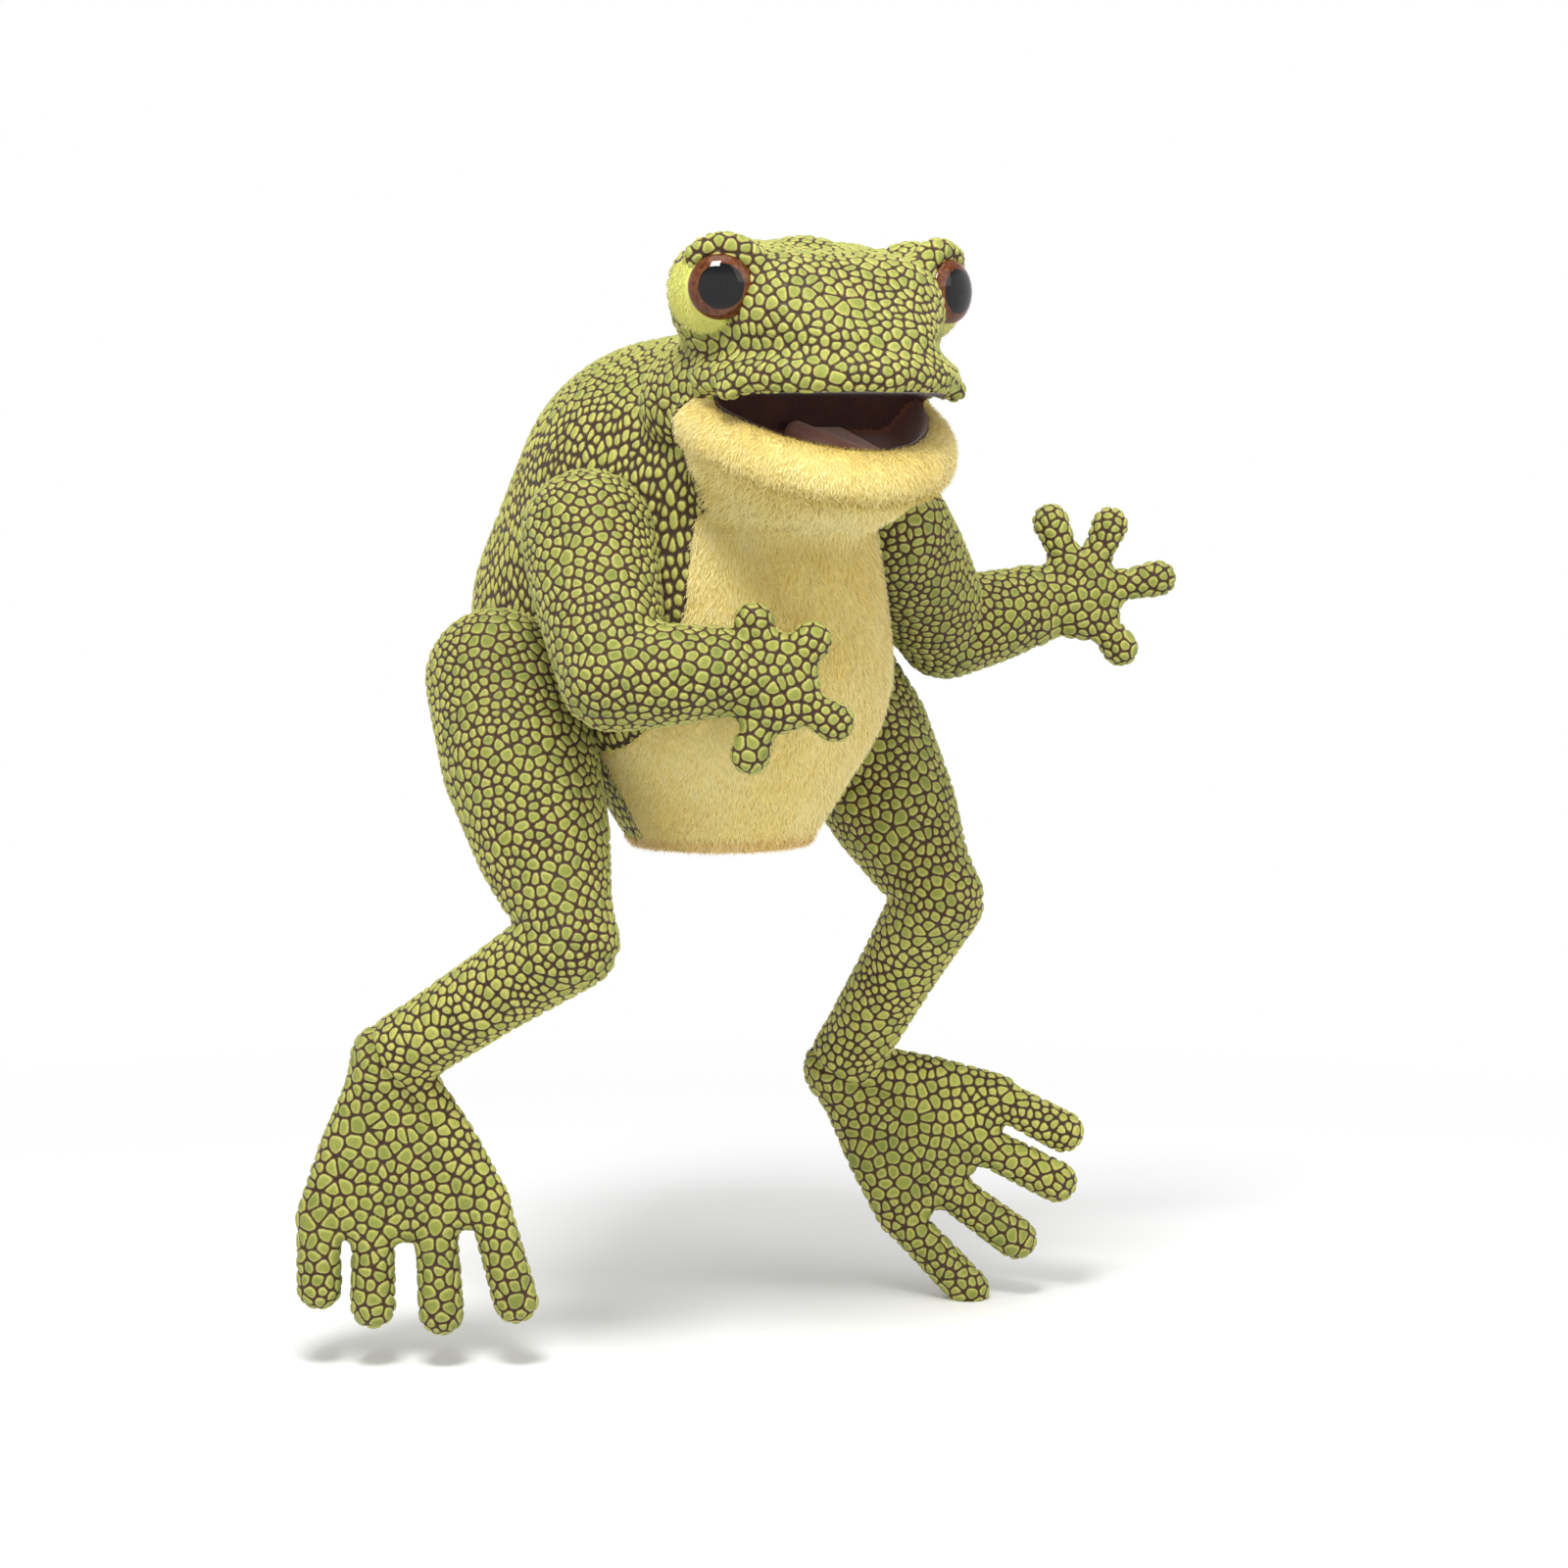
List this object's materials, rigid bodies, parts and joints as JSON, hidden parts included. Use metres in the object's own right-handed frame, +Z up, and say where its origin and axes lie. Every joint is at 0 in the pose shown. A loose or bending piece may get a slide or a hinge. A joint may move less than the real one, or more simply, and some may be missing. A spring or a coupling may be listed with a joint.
{
  "type": "hand puppet",
  "caption": "Plush frog hand puppet: arched body over a glove, hinged wide mouth, bulging eyes, jointed soft arms and legs with spread fingers and toes.",
  "frame": {"origin": "centre of the hand opening's ring at the underside of the belly", "axes": "+Z up along the glove, -Y is the way the frog's body faces, +X is the frog's left"},
  "size_m": [0.355, 0.2464, 0.4397],
  "materials": {
    "scale_cloth": "puffed green scale print on knit",
    "cream_plush": "short cream-yellow pile",
    "fibrefill": "loose polyester filling",
    "eyelid_plush": "short yellow-green pile",
    "iris_plastic": "glossy brown",
    "pupil_plastic": "glossy black",
    "clear_plastic": "clear dome",
    "grey_plastic": "matt grey",
    "mouth_suede": "dark red-brown suede cloth",
    "tongue_suede": "light red-brown suede cloth",
    "glove_cloth": "thin woven lining"
  },
  "bodies": {
    "torso": {"back_skin": "scale_cloth", "belly_skin": "cream_plush", "body_padding": "fibrefill", "glove_lining": "glove_cloth", "hem_band": "cream_plush"},
    "neck": {"wrist_lining": "glove_cloth"},
    "head": {"head_skin": "scale_cloth", "head_padding": "fibrefill", "upper_mouth_board": "grey_plastic", "palate_lining": "mouth_suede", "finger_pocket_lining": "glove_cloth", "eye_washers": "grey_plastic", "brow_hood_right": "scale_cloth", "brow_hood_left": "scale_cloth", "eye_bulge_right": "eyelid_plush", "eye_bulge_left": "eyelid_plush", "eye_iris_right": "iris_plastic", "eye_iris_left": "iris_plastic", "eye_pupil_right": "pupil_plastic", "eye_pupil_left": "pupil_plastic", "eye_lens_right": "clear_plastic", "eye_lens_left": "clear_plastic"},
    "jaw": {"jaw_skin": "cream_plush", "jaw_padding": "fibrefill", "lower_mouth_board": "grey_plastic", "mouth_floor_lining": "mouth_suede", "tongue": "tongue_suede", "thumb_pocket_lining": "glove_cloth"},
    "shoulder_right": {"shoulder_patch_right": "scale_cloth"},
    "upper_arm_right": {"upper_arm_skin_right": "scale_cloth", "upper_arm_filling_right": "fibrefill"},
    "forearm_right": {"forearm_skin_right": "scale_cloth", "forearm_filling_right": "fibrefill"},
    "hand_right": {"hand_skin_right": "scale_cloth", "hand_filling_right": "fibrefill"},
    "hip_right": {"hip_patch_right": "scale_cloth"},
    "thigh_right": {"thigh_skin_right": "scale_cloth", "thigh_filling_right": "fibrefill"},
    "shank_right": {"shank_skin_right": "scale_cloth", "shank_filling_right": "fibrefill"},
    "foot_right": {"foot_skin_right": "scale_cloth", "foot_filling_right": "fibrefill"},
    "shoulder_left": {"shoulder_patch_left": "scale_cloth"},
    "upper_arm_left": {"upper_arm_skin_left": "scale_cloth", "upper_arm_filling_left": "fibrefill"},
    "forearm_left": {"forearm_skin_left": "scale_cloth", "forearm_filling_left": "fibrefill"},
    "hand_left": {"hand_skin_left": "scale_cloth", "hand_filling_left": "fibrefill"},
    "hip_left": {"hip_patch_left": "scale_cloth"},
    "thigh_left": {"thigh_skin_left": "scale_cloth", "thigh_filling_left": "fibrefill"},
    "shank_left": {"shank_skin_left": "scale_cloth", "shank_filling_left": "fibrefill"},
    "foot_left": {"foot_skin_left": "scale_cloth", "foot_filling_left": "fibrefill"}
  },
  "joints": [
    {"name": "head_turn", "type": "hinge", "parent": "torso", "child": "neck", "pos_m": [0, -0.028, 0.15], "axis": [0, 0, 1], "range_deg": [-18, 25]},
    {"name": "head_nod", "type": "hinge", "parent": "neck", "child": "head", "pos_m": [0, -0.028, 0.15], "axis": [0.9744, -0.225, 0], "range_deg": [-12, 12]},
    {"name": "jaw_open", "type": "hinge", "parent": "head", "child": "jaw", "pos_m": [-0.00855, -0.06503, 0.17], "axis": [0.9744, -0.225, 0], "range_deg": [-18, 10]},
    {"name": "shoulder_swing_right", "type": "hinge", "parent": "torso", "child": "shoulder_right", "pos_m": [-0.076, -0.016, 0.115], "axis": [1, 0, 0], "range_deg": [-22, 12]},
    {"name": "shoulder_raise_right", "type": "hinge", "parent": "shoulder_right", "child": "upper_arm_right", "pos_m": [-0.076, -0.016, 0.115], "axis": [0, 1, 0], "range_deg": [-4, 30]},
    {"name": "elbow_right", "type": "hinge", "parent": "upper_arm_right", "child": "forearm_right", "pos_m": [-0.08786, -0.04565, 0.06658], "axis": [-0.5511, -0.6447, 0.5297], "range_deg": [-63.3, 18.7]},
    {"name": "wrist_right", "type": "hinge", "parent": "forearm_right", "child": "hand_right", "pos_m": [-0.05901, -0.06873, 0.0685], "axis": [0.6241, 0.7683, -0.1422], "range_deg": [-15.1, 46.9]},
    {"name": "shoulder_swing_left", "type": "hinge", "parent": "torso", "child": "shoulder_left", "pos_m": [0.076, -0.016, 0.115], "axis": [1, 0, 0], "range_deg": [-35, 28]},
    {"name": "shoulder_raise_left", "type": "hinge", "parent": "shoulder_left", "child": "upper_arm_left", "pos_m": [0.076, -0.016, 0.115], "axis": [0, 1, 0], "range_deg": [-30, 2]},
    {"name": "elbow_left", "type": "hinge", "parent": "upper_arm_left", "child": "forearm_left", "pos_m": [0.11698, -0.00234, 0.0763], "axis": [-0.2154, -0.8266, -0.5199], "range_deg": [-48.4, 15.6]},
    {"name": "wrist_left", "type": "hinge", "parent": "forearm_left", "child": "hand_left", "pos_m": [0.14981, -0.0167, 0.08553], "axis": [0.2276, -0.1023, -0.9684], "range_deg": [-15.1, 46.9]},
    {"name": "hip_swing_right", "type": "hinge", "parent": "torso", "child": "hip_right", "pos_m": [-0.082, 0.034, 0.06], "axis": [1, 0, 0], "range_deg": [-26, 30]},
    {"name": "hip_spread_right", "type": "hinge", "parent": "hip_right", "child": "thigh_right", "pos_m": [-0.082, 0.034, 0.06], "axis": [0, 1, 0], "range_deg": [-3, 25]},
    {"name": "knee_right", "type": "hinge", "parent": "thigh_right", "child": "shank_right", "pos_m": [-0.08776, -0.01878, -0.03405], "axis": [0.9311, 0.2908, -0.2202], "range_deg": [-58.4, 20.6]},
    {"name": "ankle_right", "type": "hinge", "parent": "shank_right", "child": "foot_right", "pos_m": [-0.12166, 0.05202, -0.08391], "axis": [-0.9066, -0.4216, 0.0178], "range_deg": [-33.6, 24.4]},
    {"name": "hip_swing_left", "type": "hinge", "parent": "torso", "child": "hip_left", "pos_m": [0.082, 0.034, 0.06], "axis": [1, 0, 0], "range_deg": [-26, 30]},
    {"name": "hip_spread_left", "type": "hinge", "parent": "hip_left", "child": "thigh_left", "pos_m": [0.082, 0.034, 0.06], "axis": [0, 1, 0], "range_deg": [-25, 3]},
    {"name": "knee_left", "type": "hinge", "parent": "thigh_left", "child": "shank_left", "pos_m": [0.09639, -0.02152, -0.03151], "axis": [0.9835, 0.1739, 0.0492], "range_deg": [-42.7, 44.3]},
    {"name": "ankle_left", "type": "hinge", "parent": "shank_left", "child": "foot_left", "pos_m": [0.09059, 0.03261, -0.10691], "axis": [-0.8061, -0.5083, -0.3029], "range_deg": [-50.5, 23.5]}
  ]
}
